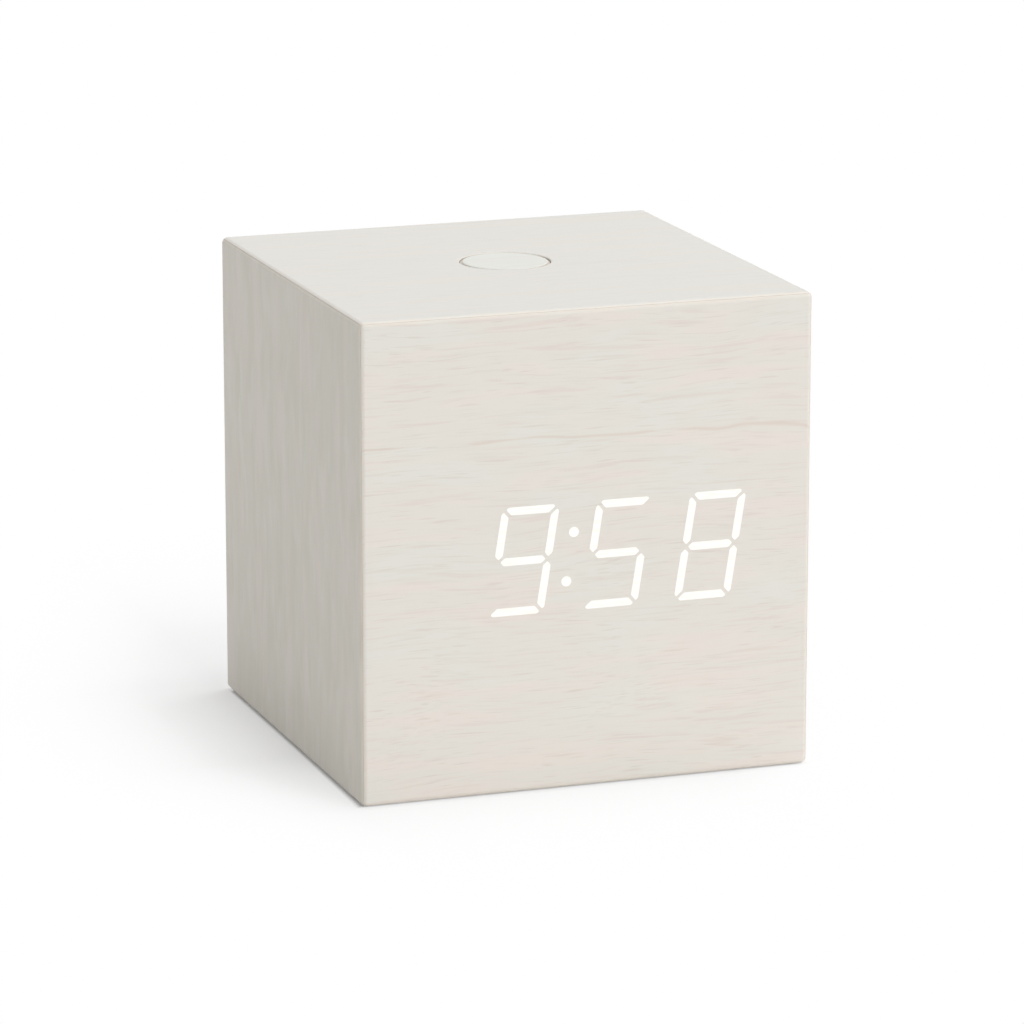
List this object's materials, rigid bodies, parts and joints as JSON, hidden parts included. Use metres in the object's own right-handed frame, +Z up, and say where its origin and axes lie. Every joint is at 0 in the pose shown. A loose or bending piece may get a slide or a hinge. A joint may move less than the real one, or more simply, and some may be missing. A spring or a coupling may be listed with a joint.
{
  "type": "digital alarm clock",
  "caption": "Cube-shaped wooden alarm clock whose seven-segment time shines through the front veneer, with a round snooze button in its top and keys, power inlet and battery bay in its back.",
  "frame": {"origin": "on the surface the clock stands on, under the middle of the clock", "axes": "+Z up, the display on the -Y side, +X to the right of someone who reads the display"},
  "size_m": [0.1, 0.1, 0.1034],
  "materials": {
    "veneer": "whitewashed, satin",
    "fibreboard": "raw fibreboard",
    "foot_rubber": "matte",
    "circuit_board": "solder mask",
    "white_plastic": "moulded, satin",
    "clear_plastic": "clear, moulded",
    "display_light": "lit, warm white",
    "screw_steel": "zinc plated",
    "grey_plastic": "moulded, satin",
    "black_plastic": "moulded, fine texture",
    "nickel_plate": "nickel plated",
    "cell_wrap": "shrink-wrapped"
  },
  "bodies": {
    "case": {"front_veneer": "veneer", "top_veneer": "veneer", "bottom_veneer": "veneer", "left_veneer": "veneer", "right_veneer": "veneer", "back_veneer": "veneer", "front_board": "fibreboard", "top_board": "fibreboard", "bottom_board": "fibreboard", "left_board": "fibreboard", "right_board": "fibreboard", "back_board": "fibreboard", "foot_1": "foot_rubber", "foot_2": "foot_rubber", "foot_3": "foot_rubber", "foot_4": "foot_rubber", "display_board": "circuit_board", "segment_mask": "white_plastic", "diffuser_film": "white_plastic", "light_guide_leading_one": "clear_plastic", "light_guide_hours": "display_light", "light_guide_tens": "display_light", "light_guide_minutes": "display_light", "light_guide_colon": "display_light", "display_screw_1": "screw_steel", "display_screw_2": "screw_steel", "display_screw_3": "screw_steel", "display_screw_4": "screw_steel", "snooze_spring": "screw_steel", "snooze_bracket": "grey_plastic", "snooze_board": "circuit_board", "snooze_screw_1": "screw_steel", "snooze_screw_2": "screw_steel", "rear_panel": "black_plastic", "panel_screw_1": "screw_steel", "panel_screw_2": "screw_steel", "panel_screw_3": "screw_steel", "panel_screw_4": "screw_steel", "main_board": "circuit_board", "usb_socket": "nickel_plate", "usb_tongue": "black_plastic", "buzzer": "black_plastic", "microphone": "nickel_plate", "battery_cell_1": "cell_wrap", "battery_cell_2": "cell_wrap", "battery_cell_3": "cell_wrap", "battery_contact_left": "nickel_plate", "battery_contact_right": "nickel_plate", "display_ribbon": "grey_plastic", "snooze_lead": "black_plastic"},
    "snooze_button": {"snooze_veneer": "veneer", "snooze_cap": "white_plastic", "snooze_plunger": "grey_plastic"},
    "set_button": {"set_key": "grey_plastic"},
    "up_button": {"up_key": "grey_plastic"},
    "down_button": {"down_key": "grey_plastic"},
    "sound_switch": {"sound_switch_knob": "white_plastic"},
    "door": {"battery_door": "black_plastic"}
  },
  "joints": [
    {"name": "snooze_press", "type": "slide", "parent": "case", "child": "snooze_button", "axis": [0, 0, -1], "range_m": [0, 0.001], "stiffness_N_per_m": 500, "springref_m": -0.002, "deforming": ["snooze_spring"]},
    {"name": "set_press", "type": "slide", "parent": "case", "child": "set_button", "axis": [0, -1, 0], "range_m": [0, 0.0007], "stiffness_N_per_m": 800, "springref_m": -0.0005},
    {"name": "up_press", "type": "slide", "parent": "case", "child": "up_button", "axis": [0, -1, 0], "range_m": [0, 0.0007], "stiffness_N_per_m": 800, "springref_m": -0.0005},
    {"name": "down_press", "type": "slide", "parent": "case", "child": "down_button", "axis": [0, -1, 0], "range_m": [0, 0.0007], "stiffness_N_per_m": 800, "springref_m": -0.0005},
    {"name": "sound_switch_slide", "type": "slide", "parent": "case", "child": "sound_switch", "axis": [-1, 0, 0], "range_m": [0, 0.003]},
    {"name": "battery_door_hinge", "type": "hinge", "parent": "case", "child": "door", "pos_m": [0.009, 0.0469, 0.0263], "axis": [-1, 0, 0], "range_deg": [0, 85]}
  ]
}
